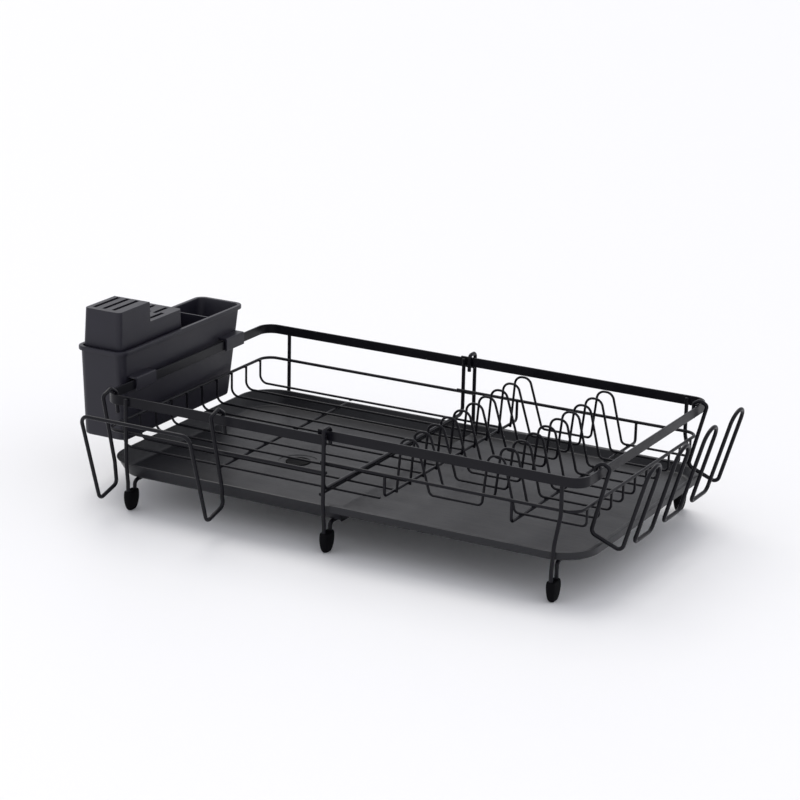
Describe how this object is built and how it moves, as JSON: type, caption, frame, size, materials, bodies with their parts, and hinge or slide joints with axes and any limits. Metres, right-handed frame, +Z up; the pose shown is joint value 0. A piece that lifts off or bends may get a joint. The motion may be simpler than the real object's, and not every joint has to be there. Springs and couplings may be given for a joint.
{
  "type": "dish drying rack",
  "caption": "Expanding wire dish drying rack with plate loops, nesting drip trays, rubber feet, utensil box, knife block, board holder and cup pegs.",
  "frame": {"origin": "middle of the whole rack's bounding box seen from above, on the counter plane", "axes": "+X along the rack from the utensil box to the cup pegs (the way the rack extends), +Y from front to back, +Z up"},
  "size_m": [0.6395, 0.372, 0.189],
  "materials": {
    "powder_coat": "satin black powder coat on steel wire and strip",
    "tray_coat": "matt dark grey coated sheet",
    "holder_plastic": "moulded charcoal plastic, fine grain",
    "foot_rubber": "black rubber"
  },
  "bodies": {
    "outer_frame": {"left_band": "powder_coat", "left_rail": "powder_coat", "left_leg_frame": "powder_coat", "middle_leg_frame": "powder_coat", "left_cross_wire": "powder_coat", "left_end_cross_wire": "powder_coat", "floor_wire_01": "powder_coat", "floor_wire_02": "powder_coat", "floor_wire_03": "powder_coat", "floor_wire_04": "powder_coat", "floor_wire_05": "powder_coat", "floor_wire_06": "powder_coat", "floor_wire_07": "powder_coat", "floor_wire_08": "powder_coat", "floor_wire_09": "powder_coat", "floor_wire_10": "powder_coat", "front_left_foot": "foot_rubber", "back_left_foot": "foot_rubber", "front_middle_foot": "foot_rubber", "back_middle_foot": "foot_rubber"},
    "inner_frame": {"right_band": "powder_coat", "right_rail": "powder_coat", "right_leg_frame": "powder_coat", "right_end_frame": "powder_coat", "right_cross_wire": "powder_coat", "right_end_cross_wire": "powder_coat", "plate_wire_01": "powder_coat", "plate_wire_02": "powder_coat", "plate_wire_03": "powder_coat", "plate_wire_04": "powder_coat", "plate_wire_05": "powder_coat", "plate_wire_06": "powder_coat", "plate_wire_07": "powder_coat", "plate_wire_08": "powder_coat", "plate_wire_09": "powder_coat", "plate_wire_10": "powder_coat", "front_right_foot": "foot_rubber", "back_right_foot": "foot_rubber"},
    "left_tray": {"left_drip_tray": "tray_coat"},
    "right_tray": {"right_drip_tray": "tray_coat"},
    "drain_stopper": {"drain_plug": "foot_rubber"},
    "utensil_box": {"utensil_holder": "holder_plastic", "utensil_divider": "holder_plastic"},
    "knife_insert": {"knife_block": "holder_plastic"},
    "board_hanger": {"board_holder": "powder_coat"},
    "cup_hanger": {"cup_holder": "powder_coat"}
  },
  "joints": [
    {"name": "frame_extension", "type": "slide", "parent": "outer_frame", "child": "inner_frame", "axis": [1, 0, 0], "range_m": [-0.104, 0]},
    {"name": "left_tray_pull", "type": "slide", "parent": "outer_frame", "child": "left_tray", "axis": [1, 0, 0], "range_m": [-0.54, 0]},
    {"name": "right_tray_slide", "type": "slide", "parent": "left_tray", "child": "right_tray", "axis": [1, 0, 0], "range_m": [-0.104, 0]},
    {"name": "drain_plug_lift", "type": "slide", "parent": "left_tray", "child": "drain_stopper", "axis": [0, 0, 1], "range_m": [0, 0.005]},
    {"name": "utensil_box_lift", "type": "slide", "parent": "outer_frame", "child": "utensil_box", "axis": [0, 0, 1], "range_m": [0, 0.02]},
    {"name": "knife_insert_lift", "type": "slide", "parent": "utensil_box", "child": "knife_insert", "axis": [0, 0, 1], "range_m": [0, 0.1]},
    {"name": "board_hanger_lift", "type": "slide", "parent": "outer_frame", "child": "board_hanger", "axis": [0, 0, 1], "range_m": [0, 0.026]},
    {"name": "cup_hanger_lift", "type": "slide", "parent": "inner_frame", "child": "cup_hanger", "axis": [0.1961, 0, 0.9806], "range_m": [0, 0.0175]}
  ],
  "couplings": [
    {"joint": "right_tray_slide", "follows": "frame_extension", "ratio": 1}
  ]
}
